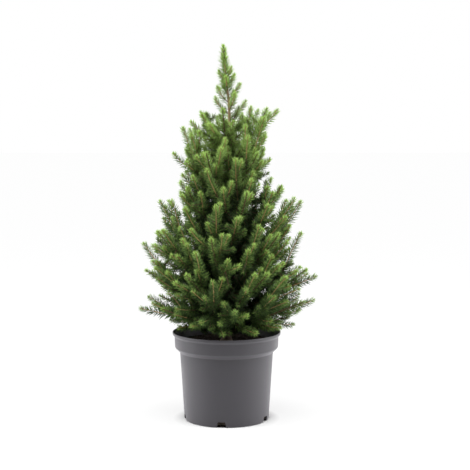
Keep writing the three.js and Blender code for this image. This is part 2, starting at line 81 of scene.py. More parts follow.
# bearing, height, radius and lean of the tips that stand out of the crown
STRAYS = [
    (4, 545, 90, 30), (-8, 257, 159, 58), (180, 470, 93, 27), (186, 514, 77, 26), (170, 537, 59, 24),
    (187, 199, 154, 76), (-6, 214, 155, 62), (1, 386, 131, 27), (-12, 333, 133, 31), (3, 166, 121, 86),
    (24, 545, 62, 24), (-40, 549, 56, 22), (-105, 541, 40, 24), (-75, 524, 52, 30), (95, 538, 42, 24),
    (62, 524, 54, 30), (118, 520, 56, 30), (-125, 520, 56, 30), (178, 312, 147, 34), (175, 386, 118, 28),
]
SHOOT_CORE = 2.8
SHOOT_TRIES = 8
LEADER = dict(shoots=12, shoot_foot=528, shoot_top=602, shoot_length=46, top_length=26, lean=42)
BOUGH_TIP_RADIUS = 1
BOUGH_STAGGER = 5
CLEARANCE = 3  # between the shoots of two boughs, past their radii
TRUNK_STEP = 5  # between the points that keep shoots off the trunk
SEED = 7

# ---------- random numbers, tables and curves ----------


def random_from(seed):
    """Seeded random numbers from 0 to 1, the same ones as the part's source draws."""
    state = seed

    def draw():
        nonlocal state
        state = (state * 1664525 + 1013904223) & 0xFFFFFFFF
        return state / 4294967296

    return draw


def look_up(table, x):
    """The value a table of (x, value) rows gives at x, straight between the rows."""
    return float(np.interp(x, [row[0] for row in table], [row[1] for row in table]))


def crown_radius(height, bearing):
    """The crown's reach at a height, which differs from side to side."""
    left, middle, right = (
        float(np.interp(height, [row[0] for row in CROWN_RADIUS], [row[k] for row in CROWN_RADIUS]))
        for k in (1, 2, 3)
    )
    along = math.cos(bearing)
    return middle + ((right if along > 0 else left) - middle) * along * along


def smooth(t):
    """Eases from 0 to 1."""
    s = min(1.0, max(0.0, t))
    return s * s * (3 - 2 * s)


def polar(radius, angle, height):
    return np.array([radius * math.cos(angle), radius * math.sin(angle), height])


def unit(v):
    return v / np.linalg.norm(v)


class Rise:
    """A quadratic curve from a start to a tip, in millimetres."""

    def __init__(self, start, control, tip):
        self.start, self.control, self.tip = start, control, tip
        points = self.at(np.linspace(0, 1, 201))
        self.length = float(np.linalg.norm(np.diff(points, axis=0), axis=1).sum())

    def at(self, share):
        t = np.asarray(share, float)[..., None]
        return (1 - t) ** 2 * self.start + 2 * t * (1 - t) * self.control + t * t * self.tip

    def heading(self, share):
        t = np.asarray(share, float)[..., None]
        way = (1 - t) * (self.control - self.start) + t * (self.tip - self.control)
        return way / np.linalg.norm(way, axis=-1, keepdims=True)


def rising_curve(start, tip, lean, bearing, pull):
    """A curve that arrives at its tip with the given lean and bearing."""
    arrival = polar(math.sin(lean), bearing, math.cos(lean))
    return Rise(start, tip - pull * np.linalg.norm(tip - start) * arrival, tip)


# ---------- the growth of the crown, by the part's own rule ----------


def trunk_middle(height):
    """The trunk's middle, which bows to +X and kinks back near the tip."""
    share = (height - TRUNK["foot"]) / (TRUNK["tip"] - TRUNK["foot"])
    x = TRUNK["bow"] * math.sin(0.67 * math.pi * share)
    x += TRUNK["kink"] * smooth((share - 0.75) / 0.25)
    return np.array([x, -0.3 * TRUNK["bow"] * share, height])


def trunk_radius(height):
    """The trunk's taper with the root flare at its foot."""
    share = (height - TRUNK["foot"]) / (TRUNK["end"] - TRUNK["foot"])
    taper = TRUNK["foot_radius"] + (TRUNK["end_radius"] - TRUNK["foot_radius"]) * share
    return taper + TRUNK["flare"] * math.exp(-(height - TRUNK["foot"]) / TRUNK["flare_height"])


class Bough:
    """One bough with the mass of foliage it carries."""

    def __init__(self, name, bare, foot_radius, line):
        self.name, self.bare, self.foot_radius, self.line = name, bare, foot_radius, line
        self.shoots = []
        self.forks = []
        self.add_forks(line, bare + TIPS["leave_first"])

    def add_forks(self, curve, first):
        """Notes the places on a curve from which shoots can leave."""
        while first < TIPS["leave_last"]:
            self.forks.append((curve.at(first), curve.heading(first)))
            first += TIPS["leave_step"]

    def radius(self, share):
        return self.foot_radius + (BOUGH_TIP_RADIUS - self.foot_radius) * share


class Room:
    """The points of every limb and shoot, to keep new shoots clear of other boughs' shoots."""

    def __init__(self):
        self.at, self.radius, self.owner = np.empty((0, 3)), np.empty(0), np.empty(0, int)

    def add(self, points, radius, owner):
        self.at = np.vstack([self.at, points])
        self.radius = np.append(self.radius, np.full(len(points), float(radius)))
        self.owner = np.append(self.owner, np.full(len(points), owner))

    def is_clear(self, points, radius, owner):
        others = self.owner != owner
        gaps = np.linalg.norm(points[:, None] - self.at[others][None], axis=2)
        return bool(np.all(gaps > radius + self.radius[others] + CLEARANCE))


def sampled(curve, start):
    """Points along a curve from a share of it to its tip."""
    steps = max(4, math.floor(curve.length / 6 + 0.5))
    return curve.at(start + (1 - start) * np.arange(steps + 1) / steps)


def tip_heights(count, top, foot):
    """Heights down the crown that give each strip of its surface its share of the tips."""
    levels, area = [], 0.0
    for height in range(top, foot, -1):
        radius = crown_radius(height, math.pi / 2)
        area += radius * math.hypot(1, radius - crown_radius(height - 1, math.pi / 2))
        levels.append((height, area))
    heights, at = [], 0
    for i in range(count):
        while levels[at][1] < area * (i + 0.5) / count:
            at += 1
        heights.append(levels[at][0])
    return heights


def nearest_fork(boughs, tip, arrival):
    """The place on a bough or shoot that reaches a tip by a short straight way."""
    best = None
    shortest = look_up(SHORTEST, tip[2])
    for bough in boughs:
        crowding = 1 + TIPS["crowd"] * len(bough.shoots)
        for point, heading in bough.forks:
            way = tip - point
            length = float(np.linalg.norm(way))
            if not shortest < length < TIPS["longest"]:
                continue
            turned_off = 1 - float(way @ heading) / length
            aimed_off = 1 - float(way @ arrival) / length
            cost = length * (1 + TIPS["fork"] * turned_off + TIPS["aim"] * aimed_off) * crowding
            if best is None or cost < best[2]:
                best = (bough, point, cost)
    return best


def grow():
    """Every bough with its side shoots, as curves."""
    draw = random_from(SEED)

    def spread(amount):
        return amount * (2 * draw() - 1)

    boughs = []
    for name, count, turn, foot_height, tip_at, bare, foot_radius in TIERS:
        half = math.pi / count
        for n in range(count):
            bearing = math.radians(turn) + 2 * half * n + spread(0.1 * half)
            tip_height = tip_at + spread(7)
            reach = crown_radius(tip_height, bearing) * (0.98 + spread(0.04))
            lean = math.radians(look_up(SHOOT_LEAN, tip_height) + spread(4))
            step = ((2 * n) % count) - (count - 1) / 2
            foot = trunk_middle(foot_height + BOUGH_STAGGER * step + spread(2))
            line = rising_curve(foot, polar(reach, bearing, tip_height), lean, bearing, 0.5)
            boughs.append(Bough(f"{name}_{n + 1}", bare, foot_radius, line))

    room = Room()
    height = TRUNK["foot"]
    while height < TRUNK["end"]:
        room.add(trunk_middle(height)[None], trunk_radius(height), -1)
        height += TRUNK_STEP
    for curve in leader_shoots():
        room.add(sampled(curve, 0.3), SHOOT_CORE, -1)
    for i, bough in enumerate(boughs):
        room.add(sampled(bough.line, 0.08), bough.foot_radius, i)

    def add_shoot(bough, start, bearing, height, radius, lean):
        owner = boughs.index(bough)
        for attempt in range(SHOOT_TRIES):
            turn = spread(0.05 * attempt) if attempt else 0
            lift = spread(2 * attempt) if attempt else 0
            tip = polar(radius, bearing + turn, height + lift)
            curve = rising_curve(start, tip, lean, bearing + turn, TIPS["bend"])
            if room.is_clear(sampled(curve, 0.04), SHOOT_CORE, owner):
                bough.shoots.append(curve)
                bough.add_forks(curve, TIPS["leave_again"])
                room.add(sampled(curve, 0.12), SHOOT_CORE, owner)
                return

    def reach_for(bearing, height, radius, lean):
        tip = polar(radius, bearing, height)
        if any(np.linalg.norm(b.line.tip - tip) < TIPS["apart"] for b in boughs):
            return
        fork = nearest_fork(boughs, tip, polar(math.sin(lean), bearing, math.cos(lean)))
        if fork:
            add_shoot(fork[0], fork[1], bearing, height, radius, lean)

    for bearing, height, radius, lean in STRAYS:
        reach_for(math.radians(bearing), height, radius, math.radians(lean))
    for count, top, foot, out, upright in SHELLS:
        for i, level in enumerate(tip_heights(count, top, foot)):
            height = level + spread(8)
            bearing = TIPS["turn"] * i + spread(0.08)
            radius = crown_radius(height, bearing) * (out + spread(0.09))
            lean = math.radians(look_up(SHOOT_LEAN, height) + spread(6)) * upright
            reach_for(bearing, height, radius, lean)
    return boughs


def leader_shoots():
    """The short side shoots that stand close up to the leading shoot."""
    curves = []
    for n in range(LEADER["shoots"]):
        share = n / (LEADER["shoots"] - 1)
        rise = LEADER["shoot_top"] - LEADER["shoot_foot"]
        foot = trunk_middle(LEADER["shoot_foot"] + rise * share)
        bearing = TIPS["turn"] * n + 0.3
        lean = math.radians(LEADER["lean"] * (1 - 0.35 * share))
        length = LEADER["shoot_length"] + (LEADER["top_length"] - LEADER["shoot_length"]) * share
        tip = foot + polar(length * math.sin(lean), bearing, length * math.cos(lean))
        curves.append(rising_curve(foot, tip, 0.4 * lean, bearing, 0.5))
    return curves


# ---------- the finer twigs ----------

# More shells of tips inside the crown, in the manner of SHELLS, which leave the shoots as well.
INNER_SHELLS = [
    (120, 545, 225, 0.88, 1.0),
    (190, 540, 160, 0.74, 0.9),
    (220, 535, 160, 0.58, 0.75),
    (200, 525, 160, 0.40, 0.6),
    (190, 510, 160, 0.24, 0.4),
]
OUTER_DEPTH = 0.8  # shells past this share of the crown's radius are the outer ones of these
# distance between tips, least and greatest length of a shoot, and the cost of missing the tip's aim
INNER = dict(apart=8, shortest=18, longest=70, aim=0)
OUTER = dict(apart=11, shortest=36, longest=110, aim=6)
LEAVES = (0.1, 0.2, 0.3, 0.4, 0.5, 0.6)  # shares of a bough or shoot where inner shoots leave
TRUNK_LEAVES = np.arange(165, 545, 9.0)  # and heights on the trunk
TWIG = dict(
    every=13,  # one twig leaves its parent per this length
    first=0.12,  # share of the parent where the lowest twig leaves
    last=0.4,
    long=30,  # length of the lowest
    short=18,  # and of the highest
    fork=36,  # degrees off the parent
)
TRUNK_TWIGS = dict(foot=158, top=520, every=5.5, long=62, short=34, fork=46)
# room for a twig's tip: over the lip, in from the needles' edge, over the soil, off the trunk's
# middle and past the crown's radius
ROOM = dict(lip=5, edge=6, soil=8, trunk=9, crown=2)


def sideways(heading):
    """Two directions square to a heading and to each other."""
    side = unit(np.cross(heading, UP if abs(heading[2]) < 0.95 else np.array([1.0, 0, 0])))
    return side, np.cross(heading, side)


def has_room(point):
    """True inside the crown's reach, above the soil, and above the pot's edge outside it."""
    reach = math.hypot(point[0], point[1])
    over_rim = reach > SOIL["needle_edge"] - ROOM["edge"]
    lowest = POT["height"] + ROOM["lip"] if over_rim else SOIL["top"] + ROOM["soil"]
    inside = reach < crown_radius(point[2], math.atan2(point[1], point[0])) + ROOM["crown"]
    return inside and point[2] > lowest and reach > ROOM["trunk"]


def fine_twigs(parent, start, draw):
    """Twigs that leave a shoot one after another, each turned by the golden angle."""
    twigs = []
    first = start + (1 - start) * TWIG["first"]
    span = (TWIG["last"] - first) * parent.length
    count = max(0, int(span / TWIG["every"]))
    phase = 2 * math.pi * draw()
    for i in range(count):
        share = first + (TWIG["last"] - first) * (i + 0.5 * draw()) / max(1, count)
        heading = parent.heading(share)
        side, over = sideways(heading)
        spin = phase + TIPS["turn"] * i + 0.4 * draw()
        fork = math.radians(TWIG["fork"] + 12 * (draw() - 0.5))
        off = math.cos(spin) * side + math.sin(spin) * over
        way = math.cos(fork) * heading + math.sin(fork) * off
        length = TWIG["long"] + (TWIG["short"] - TWIG["long"]) * i / max(1, count - 1)
        length *= 0.85 + 0.3 * draw()
        foot = parent.at(share)
        tip = foot + length * way
        arrival = unit(way + 0.7 * heading + 0.25 * UP)
        if has_room(tip):
            twigs.append(Rise(foot, tip - 0.5 * length * arrival, tip))
    return twigs


def trunk_twigs(draw):
    """Short twigs all the way up the trunk, each turned by the golden angle."""
    t = TRUNK_TWIGS
    twigs = []
    for i, height in enumerate(np.arange(t["foot"], t["top"], t["every"])):
        share = (height - t["foot"]) / (t["top"] - t["foot"])
        bearing = TIPS["turn"] * i + 0.6 * draw()
        fork = math.radians(t["fork"] + 24 * (draw() - 0.5))
        length = (t["long"] + (t["short"] - t["long"]) * share) * (0.8 + 0.4 * draw())
        foot = trunk_middle(height)
        tip = foot + length * polar(math.sin(fork), bearing, math.cos(fork))
        if has_room(tip):
            twigs.append(rising_curve(foot, tip, 0.6 * fork, bearing, 0.4))
    return twigs


def inner_shoots(boughs, draw):
    """Shoots for the tips of the inner shells, each with the depth of its shell."""

    def spread(amount):
        return amount * (2 * draw() - 1)

    parents = [b.line for b in boughs] + [s for b in boughs for s in b.shoots]
    starts = np.concatenate([p.at(LEAVES) for p in parents])
    headings = np.concatenate([p.heading(LEAVES) for p in parents])
    starts = np.concatenate([starts, [trunk_middle(h) for h in TRUNK_LEAVES]])
    headings = np.concatenate([headings, np.tile(UP, (len(TRUNK_LEAVES), 1))])
    tips = np.array([p.tip for p in parents])
    made = []
    for count, top, foot, out_share, upright in INNER_SHELLS:
        phase = 2 * math.pi * draw()
        for i, level in enumerate(tip_heights(count, top, foot)):
            height = level + spread(5)
            bearing = TIPS["turn"] * i + phase
            radius = crown_radius(height, bearing) * (out_share + spread(0.07))
            lean = math.radians(look_up(SHOOT_LEAN, height) + spread(8)) * upright
            tip = polar(radius, bearing, height)
            limits = OUTER if out_share > OUTER_DEPTH else INNER
            if np.linalg.norm(tips - tip, axis=1).min() < limits["apart"]:
                continue
            ways = tip - starts
            lengths = np.linalg.norm(ways, axis=1)
            straight = (ways * headings).sum(1) / lengths
            aimed = ways @ polar(math.sin(lean), bearing, math.cos(lean)) / lengths
            off = TIPS["fork"] * (1 - straight) + limits["aim"] * (1 - aimed)
            costs = lengths * (1 + off)
            costs[(lengths < limits["shortest"]) | (lengths > limits["longest"])] = np.inf
            best = int(np.argmin(costs))
            if not np.isfinite(costs[best]) or not has_room(tip):
                continue
            curve = rising_curve(starts[best], tip, lean, bearing, TIPS["bend"])
            tips = np.vstack([tips, tip])
            made.append((curve, out_share))
    return made


# ---------- lines with values along them, for the node trees ----------

LINE_STEP = 3.0  # between the points of a line of needles
WOOD_STEP = 5  # and of a line of wood
SHORTEST_LINE = 1.5
SHOOT_BROWN = 0.35  # the older share of a shoot, which is brown
NEEDLE_END = 4.5  # lines end this far short of a shoot's tip, which the last needles reach
TWIG_END = 3.0  # and this far short of a twig's
TUFT_END = 0.6  # and of a tuft's on the leader
# radius of the wood at its foot and at its tip
WOOD = dict(
    main=(0.98, 0.6),
    inner=(0.95, 0.58),
    trunk=(1.2, 0.7),
    fine=(0.8, 0.6),
)
TONES = {
    # dark, deep and shade are painted shade for needles inside and low in the crown, and soft is painted
    # half light for the top of the crown; leaf is the needles' own green, and fresh and tip are the pale
    # new growth, which the lit brushes also stretch as painted light
    # linear colour, spacing of needles along the wood and their width in mm
    "dark": ((0.016, 0.031, 0.008), 0.60, 2.3),
    "deep": ((0.031, 0.057, 0.013), 0.95, 1.7),
    "shade": ((0.057, 0.108, 0.022), 0.92, 1.4),
    "soft": ((0.091, 0.152, 0.034), 0.90, 1.4),
    "leaf": ((0.139, 0.224, 0.049), 0.88, 1.3),
    "fresh": ((0.214, 0.335, 0.072), 0.75, 1.2),
    "tip": ((0.275, 0.425, 0.092), 0.45, 1.2),
}
# share of the wood's foot that bears no needles
BARE_FOOT = dict(bough=0.06, main=0.1, inner=0.06, trunk=0.15, fine=0.12, leader=0.12, tuft=0.05)
BOUGH_END_RADIUS = 0.9
FINE_VIGOUR = 0.9  # share of the usual needle length on fine twigs
ALL = 200  # longer than any brush
# the tones that mix along a brush, and how far from its tip each mixture goes
# every brush but sparse is a lit or shaded copy of the same foliage: painted light where it is paler
# with longer pale ends, painted shade where it is darker
BRUSHES = {
    "sunlit": [("tip fresh", 9), ("fresh leaf", 16), ("leaf shade", 60), ("shade deep", ALL)],
    "half_lit": [("tip fresh", 6), ("fresh leaf", 11), ("leaf shade", 40), ("shade deep", ALL)],
    "dim": [("fresh leaf", 8), ("leaf shade", 20), ("shade deep", ALL)],
    "shaded": [("leaf shade", 8), ("shade deep", ALL)],
    "inner": [("dark deep", ALL)],
    "bright": [("tip fresh", 12), ("fresh leaf", 40), ("leaf soft", ALL)],
    "top_lit": [("fresh leaf", 14), ("leaf soft", ALL)],
    "open": [("leaf soft", 12), ("soft deep", ALL)],
    "sparse": [("fresh", 16), ("leaf", ALL)],
}
TUFT_LENGTH, YOUNG_LENGTH = 9, 50  # the tight tuft at a brush's tip, and its young end
# degrees off the wood, and how much less on the young end and in the tuft
NEEDLE_LEAN = dict(full=64, young=18, tuft=30)
# share of the usual needle length, and how much less on the young end and in the tuft
NEEDLE_VIGOUR = dict(full=1.22, young=0.50, tuft=0.32)


class Lines:
    """Open lines of points with named values, gathered for one mesh."""

    def __init__(self, *values):
        self.points, self.edges, self.count = [], [], 0
        self.values = {name: [] for name in values}

    def add(self, points, **values):
        n = len(points)
        steps = np.arange(self.count, self.count + n - 1)
        self.points.append(points * MM)
        self.edges.append(np.stack([steps, steps + 1], 1))
        for name, numbers in values.items():
            self.values[name].append(np.broadcast_to(np.asarray(numbers, float), (n,)))
        self.count += n

    def as_object(self, name):
        mesh = bpy.data.meshes.new(name)
        mesh.from_pydata(np.concatenate(self.points), np.concatenate(self.edges).tolist(), [])
        for label, parts in self.values.items():
            layer = mesh.attributes.new(label, "FLOAT", "POINT")
            layer.data.foreach_set("value", np.concatenate(parts).astype(np.float32))
        return linked(name, mesh)


def linked(name, data):
    """A new object in the scene that holds a mesh, a light or a camera."""
    piece = bpy.data.objects.new(name, data)
    bpy.context.scene.collection.objects.link(piece)
    return piece


def needle_value(values, young, tuft):
    """A needle's value, from how far it is into the young end and the tuft."""
    return values["full"] - values["young"] * young - values["tuft"] * tuft


def add_needles(tones, curve, start, end_gap, brush, vigour=1.0):
    """Needles along a curve from a share of it to its tip, in the tones of a brush."""
    length = curve.length
    stop = 1 - end_gap / length
    high = stop
    for mixture, reach in BRUSHES[brush]:
        low = max(start, stop - reach / length)
        if (high - low) * length < SHORTEST_LINE:
            continue
        shares = np.linspace(low, high, max(4, int((high - low) * length / LINE_STEP) + 1))
        to_tip = (stop - shares) * length
        tuft = np.clip(1 - to_tip / TUFT_LENGTH, 0, 1) ** 3
        young = np.clip(1 - to_tip / YOUNG_LENGTH, 0, 1)
        lean = np.radians(needle_value(NEEDLE_LEAN, young, tuft))
        growth = vigour * needle_value(NEEDLE_VIGOUR, young, tuft)
        for tone in mixture.split():
            tones[tone].add(curve.at(shares), lean=lean, vigour=growth)
        high = low


# ---------- node trees ----------


def new_tree(name, kind, inputs, outputs):
    """A node tree or group with named inputs and outputs."""
    tree = bpy.data.node_groups.new(name, kind)
    for label, socket, value in inputs:
        made = tree.interface.new_socket(label, in_out="INPUT", socket_type=socket)
        if value is not None:
            made.default_value = value
    for label, socket in outputs:
        tree.interface.new_socket(label, in_out="OUTPUT", socket_type=socket)
    return tree


def put(tree, kind, feeds=None, **settings):
    """A new node with its settings and inputs, each a plain value or another node's output."""
    node = tree.nodes.new(kind)
    node.location = (190 * (len(tree.nodes) % 12), -260 * (len(tree.nodes) // 12))
    for key, value in settings.items():
        setattr(node, key, value)
    for key, value in (feeds or {}).items():
        if isinstance(key, int):
            socket = node.inputs[key]
        else:
            socket = next(s for s in node.inputs if s.name == key and s.enabled)
        if isinstance(value, bpy.types.NodeSocket):
            tree.links.new(value, socket)
        else:
            socket.default_value = value
    return node


def out(node, name=None):
    """A node's first live output, or the one with a name."""
    return next(s for s in node.outputs if s.enabled and name in (None, s.name))


def sums(tree, operation, a, b):
    """The output of one step of arithmetic."""
    return out(put(tree, "ShaderNodeMath", {0: a, 1: b}, operation=operation))


def along(tree, name):
    """A value that the lines carry."""
    value = put(tree, "GeometryNodeInputNamedAttribute", {"Name": name}, data_type="FLOAT")
    return out(value, "Attribute")


def jitter(tree, low, high, seed, offset):
    feeds = {"Min": low, "Max": high, "Seed": sums(tree, "ADD", seed, offset)}
    return out(put(tree, "FunctionNodeRandomValue", feeds, data_type="FLOAT"))


def end_tree(tree, shape, finish):
    """Ends a tree with real geometry in its finish."""
    real = put(tree, "GeometryNodeRealizeInstances", {"Geometry": out(shape)})
    done = put(tree, "GeometryNodeSetMaterial", {"Geometry": out(real), "Material": finish})
    put(tree, "NodeGroupOutput", {"Geometry": out(done)})


GEOMETRY = ("Geometry", "NodeSocketGeometry", None)


def wood_tree():
    """A round skin over each line, as thick as the line's own girth."""
    tree = new_tree(
        "wood_over_lines",
        "GeometryNodeTree",
        [GEOMETRY, ("Sides", "NodeSocketInt", 6), ("Finish", "NodeSocketMaterial", None)],
        [GEOMETRY[:2]],
    )
    given = put(tree, "NodeGroupInput").outputs
    curve = put(tree, "GeometryNodeMeshToCurve", {"Mesh": given["Geometry"]})
    ring = put(tree, "GeometryNodeCurvePrimitiveCircle", {"Resolution": given["Sides"], "Radius": 1.0})
    feeds = {"Curve": out(curve), "Profile Curve": out(ring), "Scale": along(tree, "girth")}
    skin = put(tree, "GeometryNodeCurveToMesh", {**feeds, "Fill Caps": True})
    end_tree(tree, skin, given["Finish"])
    return tree


def needle_tree():
    """Needles along each line, each turned on from the last by the golden angle."""
    tree = new_tree(
        "needles_on_lines",
        "GeometryNodeTree",
        [
            GEOMETRY,
            ("Needle", "NodeSocketObject", None),
            ("Spacing", "NodeSocketFloat", 0.0005),
            ("Length", "NodeSocketFloat", 0.0120),
            ("Width", "NodeSocketFloat", 0.0012),
            ("Lean Spread", "NodeSocketFloat", 0.16),
            ("Seed", "NodeSocketInt", 0),
            ("Finish", "NodeSocketMaterial", None),
        ],
        [GEOMETRY[:2]],
    )
    given = put(tree, "NodeGroupInput").outputs
    seed = given["Seed"]
    curve = put(tree, "GeometryNodeMeshToCurve", {"Mesh": given["Geometry"]})
    feeds = {"Curve": out(curve), "Length": given["Spacing"]}
    places = put(tree, "GeometryNodeCurveToPoints", feeds, mode="LENGTH")
    index = out(put(tree, "GeometryNodeInputIndex"))
    turned_on = sums(tree, "MULTIPLY", index, TIPS["turn"])
    spin = sums(tree, "ADD", turned_on, jitter(tree, -0.5, 0.5, seed, 1))
    wander = sums(tree, "MULTIPLY", jitter(tree, -1.0, 1.0, seed, 2), given["Lean Spread"])
    lean = sums(tree, "ADD", along(tree, "lean"), wander)
    turn = put(tree, "ShaderNodeCombineXYZ", {"X": lean, "Y": 0.0, "Z": spin})
    euler = put(tree, "FunctionNodeEulerToRotation", {"Euler": out(turn)})
    stand = put(
        tree,
        "FunctionNodeRotateRotation",
        {"Rotation": out(places, "Rotation"), "Rotate By": out(euler)},
        rotation_space="LOCAL",
    )
    growth = sums(tree, "MULTIPLY", along(tree, "vigour"), jitter(tree, 0.76, 1.10, seed, 3))
    long = sums(tree, "MULTIPLY", given["Length"], growth)
    wide = sums(tree, "MULTIPLY", given["Width"], jitter(tree, 0.42, 0.56, seed, 4))
    size = put(tree, "ShaderNodeCombineXYZ", {"X": wide, "Y": wide, "Z": long})
    needle = put(tree, "GeometryNodeObjectInfo", {"Object": given["Needle"], "As Instance": True})
    placed = put(
        tree,
        "GeometryNodeInstanceOnPoints",
        {
            "Points": out(places, "Points"),
            "Instance": out(needle, "Geometry"),
            "Rotation": out(stand),
            "Scale": out(size),
        },
    )
    end_tree(tree, placed, given["Finish"])
    return tree


def crumb_tree():
    """Irregular lumps strewn over the upward faces of a surface."""
    tree = new_tree(
        "crumbs_on_surface",
        "GeometryNodeTree",
        [
            GEOMETRY,
            ("Density", "NodeSocketFloat", 60000.0),
            ("Smallest", "NodeSocketFloat", 0.0006),
            ("Largest", "NodeSocketFloat", 0.0026),
            ("Seed", "NodeSocketInt", 0),
            ("Finish", "NodeSocketMaterial", None),
        ],
        [GEOMETRY[:2]],
    )
    given = put(tree, "NodeGroupInput").outputs
    seed = given["Seed"]
    normal = out(put(tree, "GeometryNodeInputNormal"), "Normal")
    facing = out(put(tree, "ShaderNodeSeparateXYZ", {0: normal}), "Z")
    where = put(tree, "ShaderNodeSeparateXYZ", {0: out(put(tree, "GeometryNodeInputPosition"))})
    square = sums(
        tree,
        "ADD",
        sums(tree, "MULTIPLY", out(where, "X"), out(where, "X")),
        sums(tree, "MULTIPLY", out(where, "Y"), out(where, "Y")),
    )
    inner = sums(tree, "LESS_THAN", square, ((POT["band_foot"] - 5) * MM) ** 2)
    chosen = sums(tree, "MULTIPLY", sums(tree, "GREATER_THAN", facing, 0.6), inner)
    spots = put(
        tree,
        "GeometryNodeDistributePointsOnFaces",
        {"Mesh": given["Geometry"], "Selection": chosen, "Density": given["Density"], "Seed": seed},
    )
    lump = put(tree, "GeometryNodeMeshIcoSphere", {"Radius": 1.0, "Subdivisions": 1})
    turns = {axis: jitter(tree, 0.0, 6.3, seed, n) for n, axis in enumerate("XYZ", 1)}
    turn = put(tree, "ShaderNodeCombineXYZ", turns)
    heft = jitter(tree, 0.0, 1.0, seed, 4)
    heft = sums(tree, "MULTIPLY", heft, heft)
    span = sums(tree, "SUBTRACT", given["Largest"], given["Smallest"])
    heft = sums(tree, "ADD", sums(tree, "MULTIPLY", heft, span), given["Smallest"])
    sizes = {}
    for n, axis in enumerate("XYZ", 5):
        sizes[axis] = sums(tree, "MULTIPLY", heft, jitter(tree, 0.55, 1.25, seed, n))
    size = put(tree, "ShaderNodeCombineXYZ", sizes)
    euler = put(tree, "FunctionNodeEulerToRotation", {"Euler": out(turn)})
    feeds = {"Points": out(spots, "Points"), "Instance": out(lump), "Rotation": out(euler)}
    placed = put(tree, "GeometryNodeInstanceOnPoints", {**feeds, "Scale": out(size)})
    end_tree(tree, placed, given["Finish"])
    return tree


def made_by(tree, source, name, **values):
    """The plain mesh that a node tree makes of a source object, as a new piece."""
    modifier = source.modifiers.new(tree.name, "NODES")
    modifier.node_group = tree
    for item in tree.interface.items_tree:
        key = item.name.lower().replace(" ", "_")
        if item.in_out == "INPUT" and key in values:
            modifier[item.identifier] = values[key]
    view = bpy.context.evaluated_depsgraph_get()
    mesh = bpy.data.meshes.new_from_object(source.evaluated_get(view))
    source.modifiers.remove(modifier)
    mesh.name = name
    for label in ("girth", "lean", "vigour"):
        if label in mesh.attributes:
            mesh.attributes.remove(mesh.attributes[label])
    mesh.materials.clear()
    mesh.materials.append(values["finish"])
    mesh.shade_smooth()
    return linked(name, mesh)


# ---------- materials ----------

# the darkest and the lightest of each mottled colour
POT_COLOURS = (0.020, 0.018, 0.023), (0.024, 0.022, 0.028)
SOIL_COLOURS = dict(
    flat=((0.010, 0.008, 0.006), (0.040, 0.030, 0.022)),
    crumbs=((0.014, 0.010, 0.008), (0.050, 0.037, 0.026)),
)
BARK_COLOURS = dict(
    old=((0.060, 0.042, 0.030), (0.150, 0.112, 0.080)),
    young=((0.290, 0.195, 0.115), (0.480, 0.345, 0.210)),
)
BARK_TURNS = (0.40, 0.50)  # the heights between which the old bark gives way to the young
TWIG_COLOURS = dict(
    brown=((0.060, 0.037, 0.018), (0.140, 0.087, 0.041)),
    tan=((0.280, 0.180, 0.070), (0.430, 0.285, 0.120)),
)


def mottle_group():
    """Soft blotches with finer ones inside them, as a mask from 0 to 1 and a height."""
    group = new_tree(
        "mottle",
        "ShaderNodeTree",
        [
            ("Scale", "NodeSocketFloat", 60.0),
            ("Detail", "NodeSocketFloat", 4.0),
            ("Contrast", "NodeSocketFloat", 2.0),
            ("Stretch", "NodeSocketVector", (1.0, 1.0, 1.0)),
        ],
        [("Mask", "NodeSocketFloat"), ("Height", "NodeSocketFloat")],
    )
    given = put(group, "NodeGroupInput").outputs
    place = put(group, "ShaderNodeTexCoord")
    drawn = put(
        group,
        "ShaderNodeVectorMath",
        {0: place.outputs["Object"], 1: given["Stretch"]},
        operation="MULTIPLY",
    )
    blotch = put(
        group,
        "ShaderNodeTexNoise",
        {"Vector": out(drawn), "Scale": given["Scale"], "Detail": given["Detail"], "Roughness": 0.6},
    )
    grey = blotch.outputs[0]
    centred = sums(group, "SUBTRACT", grey, 0.5)
    strong = sums(group, "MULTIPLY", centred, given["Contrast"])
    mask = put(group, "ShaderNodeMath", {0: strong, 1: 0.5}, operation="ADD", use_clamp=True)
    put(group, "NodeGroupOutput", {"Mask": out(mask), "Height": grey})
    return group


def new_material(name):
    material = bpy.data.materials.new(name)
    material.use_nodes = True
    tree = material.node_tree
    tree.nodes.clear()
    shader = put(tree, "ShaderNodeBsdfPrincipled")
    put(tree, "ShaderNodeOutputMaterial", {"Surface": shader.outputs[0]})
    return material, tree, shader


def mottled(tree, group, **values):
    node = put(tree, "ShaderNodeGroup", node_tree=group)
    for key, value in values.items():
        node.inputs[key.capitalize()].default_value = value
    return node


def blend_colours(tree, factor, low, high):
    """A colour between two, each given as red, green and blue or as another node's output."""
    feeds = {"Factor": factor}
    for key, colour in (("A", low), ("B", high)):
        feeds[key] = (*colour, 1.0) if isinstance(colour, tuple) else colour
    return out(put(tree, "ShaderNodeMix", feeds, data_type="RGBA"))


def ranged(tree, value, given, wanted=(0.0, 1.0)):
    feeds = {"Value": value, "From Min": given[0], "From Max": given[1]}
    feeds.update({"To Min": wanted[0], "To Max": wanted[1]})
    return out(put(tree, "ShaderNodeMapRange", feeds))


def glossed(shader, roughness, specular):
    shader.inputs["Roughness"].default_value = roughness
    shader.inputs["Specular IOR Level"].default_value = specular


def bumped(tree, shader, height, strength, distance):
    bump = put(tree, "ShaderNodeBump", {"Height": height, "Strength": strength, "Distance": distance})
    tree.links.new(out(bump), shader.inputs["Normal"])


